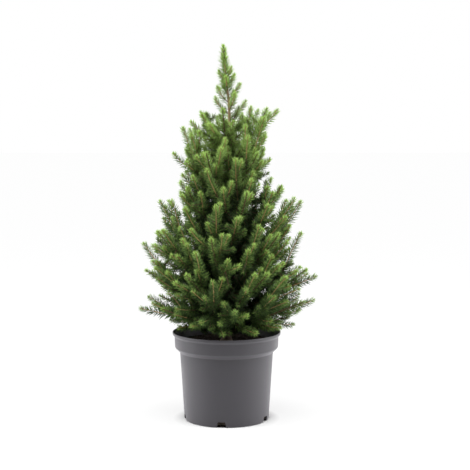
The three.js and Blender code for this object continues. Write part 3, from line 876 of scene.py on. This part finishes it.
def pot_plastic(mottle):
    material, tree, shader = new_material("grey_pot_plastic")
    cloud = mottled(tree, mottle, scale=22.0, detail=5.0, contrast=2.2)
    grain = mottled(tree, mottle, scale=900.0, detail=2.0, contrast=1.0)
    colour = blend_colours(tree, out(cloud, "Mask"), *POT_COLOURS)
    tree.links.new(colour, shader.inputs["Base Color"])
    roughness = ranged(tree, out(cloud, "Mask"), (0.0, 1.0), (0.42, 0.52))
    tree.links.new(roughness, shader.inputs["Roughness"])
    shader.inputs["Specular IOR Level"].default_value = 0.48
    shader.inputs["Sheen Weight"].default_value = 0.35
    shader.inputs["Sheen Tint"].default_value = (0.97, 0.94, 1.0, 1)
    shader.inputs["Sheen Roughness"].default_value = 0.5
    bumped(tree, shader, out(grain, "Height"), 0.12, 0.0004)
    return material


def soil_finish(mottle, name, dark, light, depth):
    material, tree, shader = new_material(name)
    lumps = mottled(tree, mottle, scale=420.0, detail=8.0, contrast=3.0)
    colour = blend_colours(tree, out(lumps, "Mask"), dark, light)
    tree.links.new(colour, shader.inputs["Base Color"])
    glossed(shader, roughness=0.95, specular=0.2)
    bumped(tree, shader, out(lumps, "Height"), 0.7, depth)
    return material


def bark_finish(mottle):
    """Grey-brown scaly bark that turns to the tan of young wood up the leading shoot."""
    material, tree, shader = new_material("scaly_bark")
    scales = mottled(tree, mottle, scale=520.0, detail=6.0, contrast=2.6, stretch=(1.0, 1.0, 0.45))
    place = put(tree, "ShaderNodeTexCoord")
    height = out(put(tree, "ShaderNodeSeparateXYZ", {0: place.outputs["Object"]}), "Z")
    old = blend_colours(tree, out(scales, "Mask"), *BARK_COLOURS["old"])
    young = blend_colours(tree, out(scales, "Mask"), *BARK_COLOURS["young"])
    colour = blend_colours(tree, ranged(tree, height, BARK_TURNS), old, young)
    tree.links.new(colour, shader.inputs["Base Color"])
    glossed(shader, roughness=0.85, specular=0.3)
    bumped(tree, shader, out(scales, "Height"), 0.5, 0.0006)
    return material


def twig_finish(mottle, name, dark, light):
    material, tree, shader = new_material(name)
    pegs = mottled(tree, mottle, scale=700.0, detail=3.0, contrast=2.4)
    tree.links.new(blend_colours(tree, out(pegs, "Mask"), dark, light), shader.inputs["Base Color"])
    glossed(shader, roughness=0.7, specular=0.35)
    bumped(tree, shader, out(pegs, "Height"), 0.4, 0.0004)
    return material


def needle_finish(name, colour):
    """One plain tone, so that each spray keeps its own colour."""
    material, _, shader = new_material(name)
    shader.inputs["Base Color"].default_value = (*colour, 1)
    glossed(shader, roughness=0.6, specular=0.18)
    return material


# ---------- the pot and its soil ----------

POT_SEGMENTS = 192
SOIL_SEGMENTS = 112
SOIL_ROWS = 26
SOIL_LUMPS = dict(scale=0.06, height=1.6, lowest=-2.0, sunk=0.6)


def eased(profile, eases, steps=4):
    """A profile whose corners are rounded off, each starting its own distance from the corner."""
    points = [profile[0]]
    for before, corner, after, ease in zip(profile, profile[1:], profile[2:], eases):
        if not ease:
            points.append(corner)
            continue
        a, b, c = (np.array(p, float) for p in (before, corner, after))
        start = b + (a - b) * min(0.48, ease / np.linalg.norm(a - b))
        end = b + (c - b) * min(0.48, ease / np.linalg.norm(c - b))
        for i in range(steps + 1):
            t = i / steps
            points.append(tuple((1 - t) ** 2 * start + 2 * t * (1 - t) * b + t * t * end))
    return [*points, profile[-1]]


def turned(name, profile, segments, lift=None):
    """A closed body turned about the Z axis from (radius, height) points that end on the axis."""
    verts, rings = [], []
    for radius, height in profile:
        if radius < 1e-6:
            rings.append([len(verts)])
            verts.append((0.0, 0.0, height * MM))
            continue
        ring = []
        for k in range(segments):
            angle = 2 * math.pi * k / segments
            x, y = radius * math.cos(angle), radius * math.sin(angle)
            z = height + (lift(x, y, height) if lift else 0)
            ring.append(len(verts))
            verts.append((x * MM, y * MM, z * MM))
        rings.append(ring)
    faces = []
    for low, high in zip(rings, rings[1:]):
        for k in range(segments):
            n = (k + 1) % segments
            if len(low) == 1:
                faces.append((low[0], high[n], high[k]))
            elif len(high) == 1:
                faces.append((low[k], low[n], high[0]))
            else:
                faces.append((low[k], low[n], high[n], high[k]))
    mesh = bpy.data.meshes.new(name)
    mesh.from_pydata(verts, [], faces)
    mesh.validate()
    return linked(name, mesh)


def pot_profile():
    """The pot's section as (radius, height) points, up the outside and down the inside."""
    p = POT
    w = p["wall"]
    outside = [
        (0, 0),
        (p["foot_disc"], 0),
        (p["foot_disc"] + 2, p["recess_depth"]),
        (p["recess_edge"] - 2, p["recess_depth"]),
        (p["recess_edge"], 0),
        (p["base_radius"] - 1, 0),
        (p["base_radius"], p["base_bevel"]),
        (p["body_top"], p["body_high"]),
        (p["band_foot"], p["band_low"]),
        (p["band_top"], p["height"] - 2 * p["lip_height"]),
        (p["lip_radius"], p["height"] - p["lip_height"]),
        (p["lip_radius"], p["height"]),
    ]
    inside = [
        (p["lip_radius"] - w, p["height"]),
        (p["lip_radius"] - w, p["height"] - p["lip_height"] + 0.6),
        (p["band_top"] - w, p["height"] - 2 * p["lip_height"] + 0.6),
        (p["band_foot"] - w, p["band_low"] + 1),
        (p["body_top"] - w, p["body_high"] + 1),
        (p["base_radius"] - w, p["floor"]),
        (0, p["floor"]),
    ]
    eases = [0, 0.6, 0.6, 0.6, 2.2, 3.0, 1.2, 2.0, 1.5, 1.0, 0.6, 0.6, 0.5, 1.2, 1.5, 1.5, 2.5]
    return eased(outside + inside, eases)


def notch_cutters():
    """The drain notches' cutters, as one object of separate wedges."""
    n = NOTCH
    half_foot, half_top, height = n["foot_width"] / 2, n["top_width"] / 2, n["height"]
    outline = [(-half_foot, -1), (half_foot, -1), (half_foot, 0), (half_top, height),
               (-half_top, height), (-half_foot, 0)]
    verts, faces = [], []
    for i in range(n["count"]):
        bearing = math.radians(n["turn"]) + 2 * math.pi * i / n["count"]
        out_way = polar(1, bearing, 0)
        side = polar(1, bearing + math.pi / 2, 0)
        base = len(verts)
        for reach in (n["start"], POT["base_radius"] + 10):
            for across, z in outline:
                verts.append(tuple((out_way * reach + side * across + UP * z) * MM))
        count = len(outline)
        faces.append(tuple(base + k for k in reversed(range(count))))
        faces.append(tuple(base + count + k for k in range(count)))
        for k in range(count):
            m = (k + 1) % count
            faces.append((base + k, base + m, base + count + m, base + count + k))
    mesh = bpy.data.meshes.new("notch_cutters")
    mesh.from_pydata(verts, [], faces)
    return linked("notch_cutters", mesh)


def pot_shell(finish):
    """The turned pot with its drain notches cut through the foot of the wall."""
    blank = turned("pot_blank", pot_profile(), POT_SEGMENTS)
    cutters = notch_cutters()
    cut = blank.modifiers.new("notches", "BOOLEAN")
    cut.operation, cut.solver, cut.object = "DIFFERENCE", "EXACT", cutters
    view = bpy.context.evaluated_depsgraph_get()
    mesh = bpy.data.meshes.new_from_object(blank.evaluated_get(view))
    for helper in (blank, cutters):
        bpy.data.objects.remove(helper)
    mesh.name = "pot_shell"
    mesh.materials.clear()
    mesh.materials.append(finish)
    mesh.shade_smooth()
    mesh.set_sharp_from_angle(angle=math.radians(30))
    return linked("pot_shell", mesh)


def soil_body(finish):
    """The soil: a closed body whose top is uneven."""
    off = POT["wall"] + SOIL["clearance"]
    rim = POT["band_foot"] - off
    top = []
    for i in range(SOIL_ROWS + 1):
        share = i / SOIL_ROWS
        height = SOIL["top"] + (SOIL["edge_top"] - SOIL["top"]) * share**1.5
        top.append((SOIL["flat"] + (rim - SOIL["flat"]) * share, height))
    profile = [
        (0, POT["floor"] + 0.3),
        (POT["base_radius"] - off, POT["floor"] + 0.3),
        (POT["body_top"] - off, POT["body_high"] + 1),
        (rim, POT["band_low"] + 1.3),
        *reversed(top),
        (10, SOIL["top"]),
        (5, SOIL["top"]),
        (0, SOIL["top"]),
    ]

    def uneven(x, y, height):
        if height < SOIL["edge_top"] - 1:
            return 0
        lumps = SOIL_LUMPS
        rough = noise.fractal(Vector((x, y, 3)) * lumps["scale"], 0.9, 2.1, 5)
        lump = min(lumps["height"], lumps["height"] * rough)
        return max(lumps["lowest"], lump) - lumps["sunk"]

    piece = turned("soil_mix", profile, SOIL_SEGMENTS, uneven)
    piece.data.materials.append(finish)
    piece.data.shade_smooth()
    return piece


# ---------- the bark ----------


def scale_relief(point, radius):
    """How far the bark stands out at a point: plates with sunk edges, and fine roughness."""
    place = Vector((point[0], point[1], 0.5 * point[2]))
    near, next_near = noise.voronoi(place * 0.42)[0][:2]
    plate = min(1.0, (next_near - near) * 2.4)
    fine = noise.fractal(place * 0.9, 0.8, 2.0, 3)
    return min(0.5, 0.055 * radius + 0.08) * (0.9 * plate + 0.5 * fine - 0.5)


def barked_tube(verts, faces, middles, headings, radii, sides):
    """Adds a closed tube with bark relief along the middles."""
    base = len(verts)
    side, _ = sideways(headings[0])
    for middle, heading, radius in zip(middles, headings, radii):
        side = unit(side - heading * np.dot(side, heading))
        over = np.cross(heading, side)
        for k in range(sides):
            angle = 2 * math.pi * k / sides
            way = math.cos(angle) * side + math.sin(angle) * over
            skin = middle + radius * way
            verts.append(tuple((skin + scale_relief(skin, radius) * way) * MM))
    rows = len(middles)
    for i in range(rows - 1):
        for k in range(sides):
            n = (k + 1) % sides
            a, b = base + i * sides, base + (i + 1) * sides
            faces.append((a + k, a + n, b + n, b + k))
    for row, middle, flip in ((0, middles[0], True), (rows - 1, middles[-1], False)):
        centre = len(verts)
        verts.append(tuple(middle * MM))
        ring = base + row * sides
        for k in range(sides):
            n = (k + 1) % sides
            faces.append((ring + n, ring + k, centre) if flip else (ring + k, ring + n, centre))


TRUNK_BARK = dict(sunk=4, below_tip=10, step=1.5, sides=36, leader_taper=0.013)
BOUGH_BARK = dict(step=1.3, past_bare=0.03, sides=16, collar=0.55, collar_length=9)


def bark_radius(height):
    """The trunk's radius, which carries on up the leading shoot past the trunk's end."""
    if height < TRUNK["end"]:
        return trunk_radius(height)
    return TRUNK["end_radius"] - TRUNK_BARK["leader_taper"] * (height - TRUNK["end"])


def bark_body(boughs, finish):
    """The bark of the trunk and of every bare limb, as one piece."""
    verts, faces = [], []
    bark = TRUNK_BARK
    heights = np.arange(TRUNK["foot"] - bark["sunk"], TRUNK["tip"] - bark["below_tip"], bark["step"])
    middles = np.array([trunk_middle(h) for h in heights])
    headings = np.gradient(middles, axis=0)
    headings /= np.linalg.norm(headings, axis=1)[:, None]
    radii = [bark_radius(h) for h in heights]
    barked_tube(verts, faces, middles, headings, radii, bark["sides"])
    bark = BOUGH_BARK
    for bough in boughs:
        if not bough.bare:
            continue
        line = bough.line
        steps = int(bough.bare * line.length / bark["step"])
        shares = np.linspace(0, bough.bare + bark["past_bare"], steps)
        collar = 1 + bark["collar"] * np.exp(-shares * line.length / bark["collar_length"])
        radii = [bough.radius(s) * c for s, c in zip(shares, collar)]
        barked_tube(verts, faces, line.at(shares), line.heading(shares), radii, bark["sides"])
    mesh = bpy.data.meshes.new("bark")
    mesh.from_pydata(verts, [], faces)
    mesh.materials.append(finish)
    mesh.shade_smooth()
    return linked("bark", mesh)


# ---------- twigs and needles ----------


def needle_shape():
    """One needle of unit length and half-width: a closed three-sided spindle, bent forwards."""
    verts = [(0, 0, 0)]
    for k in range(3):
        angle = 2 * math.pi * k / 3
        verts.append((math.sin(angle), math.cos(angle) - 0.8, 0.32))
    verts.append((0, 0, 1))
    faces = []
    for k in range(3):
        n = (k + 1) % 3
        faces += [(0, 1 + k, 1 + n), (1 + k, 4, 1 + n)]
    mesh = bpy.data.meshes.new("needle")
    mesh.from_pydata(verts, [], faces)
    mesh.shade_smooth()
    return linked("needle", mesh)


def wood_line(lines, curve, start, end_gap, thick, thin):
    """A line along a curve from a share of it, for wood of the given radii."""
    stations = max(3, int(curve.length / WOOD_STEP))
    shares = np.linspace(start, 1 - end_gap / curve.length, stations)
    girth = thick + (thin - thick) * (shares - start) / (1 - start)
    lines.add(curve.at(shares), girth=girth * MM)


def shoot_wood(older, younger, shoot, thick, thin):
    """A shoot's wood: brown on its older part, tan from there to the tip."""
    turn = SHOOT_BROWN
    middle = thick + (thin - thick) * turn
    wood_line(older, shoot, 0, (1 - turn) * shoot.length, thick, middle)
    wood_line(younger, shoot, turn, NEEDLE_END, middle, thin)


# past this share of the crown's radius needles are no longer the inner ones, which get painted shade,
# and past the second they are the crown's face; tips over the first two heights get painted light from
# above, and the face under the last one gets painted shade
LIT = dict(depth=0.64, face=0.78, top_lit=470, open=415, dim=265)
SUNLIT = [(210, 0.05), (290, 0.5), (440, 0.95)]  # height of a tip, and how likely it is sunlit
# the fixed draws for boughs and outer-shell shoots, held against SUNLIT for the brush with painted
# sunlight
BOUGH_CHANCE, SHELL_CHANCE = 0.4, 0.8  # the draw that a bough and an outer shell's shoot count as
LIMB_ROUNDS = 2  # rounds of fine twigs along every bough
LEADER_LINE = dict(foot=526, below_tip=5, stations=36)
# the tufts up the leader: first and last station of its line, brush and vigour
LEADER_TUFTS = [
    (0, 20, "sparse", 1.15),
    (12, 31, "bright", 1.4),
    (14, 30, "bright", 1.0),
    (26, 35, "bright", 1.1),
    (27, 35, "bright", 0.8),
]


def depth_of(point):
    """How far out a point is, as a share of the crown's radius."""
    return math.hypot(point[0], point[1]) / crown_radius(point[2], math.atan2(point[1], point[0]))


def brush_of(curve):
    """The brush of a twig or shoot that isn't on the crown's face: painted light near the top, and
    painted shade deeper in.
    """
    for name in ("top_lit", "open"):
        if curve.tip[2] > LIT[name]:
            return name
    return "shaded" if depth_of(curve.tip) > LIT["depth"] else "inner"


def face_brush(curve, chance):
    """The brush of a shoot on the crown's face: painted light at the top, more often painted sunlight
    the higher it is, painted shade low down.
    """
    height = curve.tip[2]
    if height > LIT["top_lit"]:
        return "bright"
    if chance < look_up(SUNLIT, height):
        return "sunlit"
    return "half_lit" if height > LIT["dim"] else "dim"


def dress_crown(boughs):
    """Lines for the wood and the needles of every mass and of the leading shoot."""
    draw = random_from(SEED + 1)
    older, younger = Lines("girth"), Lines("girth")
    tones = {tone: Lines("lean", "vigour") for tone in TONES}

    def add_fine(twigs):
        for twig in twigs:
            wood_line(older, twig, 0, TWIG_END, *WOOD["fine"])
            brush = brush_of(twig)
            add_needles(tones, twig, BARE_FOOT["fine"], TWIG_END, brush, vigour=FINE_VIGOUR)

    for bough in boughs:
        line = bough.line
        foot_radius = bough.radius(bough.bare)
        wood_line(older, line, bough.bare, NEEDLE_END, foot_radius, BOUGH_END_RADIUS)
        start = max(bough.bare, BARE_FOOT["bough"])
        add_needles(tones, line, start, NEEDLE_END, face_brush(line, BOUGH_CHANCE))
        add_fine(fine_twigs(line, start, draw))
        for shoot in bough.shoots:
            shoot_wood(older, younger, shoot, *WOOD["main"])
            on_face = depth_of(shoot.tip) > LIT["face"]
            brush = face_brush(shoot, draw()) if on_face else brush_of(shoot)
            add_needles(tones, shoot, BARE_FOOT["main"], NEEDLE_END, brush)
            add_fine(fine_twigs(shoot, 0.0, draw))
    for twig in trunk_twigs(draw):
        wood_line(older, twig, 0, TWIG_END, *WOOD["trunk"])
        add_needles(tones, twig, BARE_FOOT["trunk"], TWIG_END, brush_of(twig))
        add_fine(fine_twigs(twig, 0.0, draw))
    for shoot, depth in inner_shoots(boughs, draw):
        if depth > OUTER_DEPTH:
            shoot_wood(older, younger, shoot, *WOOD["inner"])
            brush = face_brush(shoot, SHELL_CHANCE)
        else:
            wood_line(older, shoot, 0, NEEDLE_END, *WOOD["inner"])
            brush = brush_of(shoot)
        add_needles(tones, shoot, BARE_FOOT["inner"], NEEDLE_END, brush)
        add_fine(fine_twigs(shoot, 0.0, draw))
    limb_draw = random_from(SEED + 2)
    for bough in boughs:
        for _ in range(LIMB_ROUNDS):
            add_fine(fine_twigs(bough.line, 0.0, limb_draw))
    for shoot in leader_shoots():
        shoot_wood(older, younger, shoot, *WOOD["inner"])
        add_needles(tones, shoot, BARE_FOOT["leader"], NEEDLE_END, "bright")
    top = TRUNK["tip"] - LEADER_LINE["below_tip"]
    heights = np.linspace(LEADER_LINE["foot"], top, LEADER_LINE["stations"])
    spine = [trunk_middle(h) for h in heights]
    for low, high, brush, vigour in LEADER_TUFTS:
        tuft = Rise(spine[low], spine[(low + high) // 2], spine[high])
        add_needles(tones, tuft, BARE_FOOT["tuft"], TUFT_END, brush, vigour=vigour)
    return older, younger, tones


# ---------- the scene, in metres ----------

SHADOW_FADED = 0.8  # share of the floor's shadow that the camera doesn't see
SHADOW_EDGE = 0.02  # how far out from the pot's foot the shadow fades to that
FLOOR_HALF = 30.0
WHITE = (1, 1, 1, 1)
SOFTBOX = (1.2, 1.6)


def soft_light(name, place, aim, power):
    data = bpy.data.lights.new(name, "AREA")
    data.shape = "RECTANGLE"
    data.size, data.size_y = SOFTBOX
    data.energy = power
    lamp = linked(name, data)
    lamp.location = place
    lamp.rotation_euler = (Vector(aim) - Vector(place)).to_track_quat("-Z", "Y").to_euler()


def white_room():
    """A room that is white to the camera and only a faint light to the plant."""
    world = bpy.data.worlds.new("white_room")
    world.use_nodes = True
    tree = world.node_tree
    tree.nodes.clear()
    seen = put(tree, "ShaderNodeBackground", {"Color": WHITE, "Strength": 1.0})
    fill = put(tree, "ShaderNodeBackground", {"Color": WHITE, "Strength": 0.10})
    camera_ray = put(tree, "ShaderNodeLightPath").outputs["Is Camera Ray"]
    mix = put(tree, "ShaderNodeMixShader", {0: camera_ray, 1: out(fill), 2: out(seen)})
    put(tree, "ShaderNodeOutputWorld", {"Surface": out(mix)})
    bpy.context.scene.world = world


def white_floor():
    """A wide floor whose shadow fades out from the pot's foot."""
    mesh = bpy.data.meshes.new("floor")
    half = FLOOR_HALF
    corners = [(-half, -half, 0), (half, -half, 0), (half, half, 0), (-half, half, 0)]
    mesh.from_pydata(corners, [], [(0, 1, 2, 3)])
    floor = linked("floor", mesh)
    material, tree, shader = new_material("white_floor")
    shader.inputs["Base Color"].default_value = (0.6, 0.6, 0.6, 1)
    shader.inputs["Roughness"].default_value = 0.9
    white = put(tree, "ShaderNodeEmission", {"Color": WHITE, "Strength": 1.0})
    camera_ray = put(tree, "ShaderNodeLightPath").outputs["Is Camera Ray"]
    place = put(tree, "ShaderNodeTexCoord").outputs["Object"]
    off = out(put(tree, "ShaderNodeVectorMath", {0: place}, operation="LENGTH"), "Value")
    foot = POT["base_radius"] * MM
    outside = ranged(tree, off, (foot, foot + SHADOW_EDGE))
    faded = sums(tree, "MULTIPLY", outside, SHADOW_FADED)
    paler = sums(tree, "MULTIPLY", camera_ray, faded)
    mix = put(tree, "ShaderNodeMixShader", {0: paler, 1: shader.outputs[0], 2: out(white)})
    surface = next(n for n in tree.nodes if n.bl_idname == "ShaderNodeOutputMaterial")
    tree.links.new(out(mix), surface.inputs["Surface"])
    mesh.materials.append(material)


def lights():
    sun = bpy.data.lights.new("high_softbox", "SUN")
    sun.energy, sun.angle = 5.0, math.radians(40)
    linked("high_softbox", sun).rotation_euler = (math.radians(16), math.radians(-2), 0)
    soft_light("left_softbox", (-1.5, -0.15, 0.8), (0, 0, 0.3), 27)
    soft_light("right_softbox", (1.5, -0.15, 0.8), (0, 0, 0.3), 31)


def camera():
    data = bpy.data.cameras.new("camera")
    data.lens, data.sensor_width = 87.9, 36
    eye = linked("camera", data)
    eye.location = (0.0149, -2.0, 0.5)
    eye.rotation_euler = (math.radians(85), 0, 0)
    bpy.context.scene.camera = eye


def studio():
    bpy.context.scene.view_settings.view_transform = "Standard"
    white_room()
    white_floor()
    lights()
    camera()


def keep(piece, slot, *replaced):
    """Takes a finished piece into the plant, in place of the solids that it replaces."""
    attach(piece, "root")
    if replaced:
        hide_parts(*replaced)


def build():
    nodes = set(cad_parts)
    foliage = sorted(n for n in nodes if n.startswith("foliage_"))
    limbs = sorted(n for n in nodes if n == "trunk" or n.startswith("bough_"))
    mottle = mottle_group()
    boughs = grow()

    keep(pot_shell(pot_plastic(mottle)), "pot", "pot")
    flat_soil = soil_finish(mottle, "dark_soil", *SOIL_COLOURS["flat"], 0.0015)
    crumb_soil = soil_finish(mottle, "crumbly_soil", *SOIL_COLOURS["crumbs"], 0.0008)
    soil = soil_body(flat_soil)
    crumbs = made_by(crumb_tree(), soil, "soil_crumbs", finish=crumb_soil, seed=SEED)
    keep(soil, "soil", "soil")
    keep(crumbs, "soil")
    keep(bark_body(boughs, bark_finish(mottle)), "bark", *limbs)

    older, younger, tones = dress_crown(boughs)
    wood = wood_tree()
    brown = twig_finish(mottle, "brown_twig_bark", *TWIG_COLOURS["brown"])
    tan = twig_finish(mottle, "tan_twig_bark", *TWIG_COLOURS["tan"])
    for lines, name, finish, sides in ((older, "twigs_brown", brown, 8), (younger, "twigs_tan", tan, 6)):
        source = lines.as_object("wood_lines")
        keep(made_by(wood, source, name, finish=finish, sides=sides), "bark", *foliage)
        bpy.data.objects.remove(source)

    needles = needle_tree()
    needle = needle_shape()
    for n, (tone, (colour, spacing, width)) in enumerate(TONES.items()):
        source = tones[tone].as_object("needle_lines")
        finish = needle_finish(f"{tone}_needles", colour)
        sizes = dict(needle=needle, spacing=spacing * MM, width=width * MM, seed=10 * n)
        piece = made_by(needles, source, f"needles_{tone}", finish=finish, **sizes)
        keep(piece, "needles", *foliage)
        bpy.data.objects.remove(source)
    bpy.data.objects.remove(needle)


build()
studio()
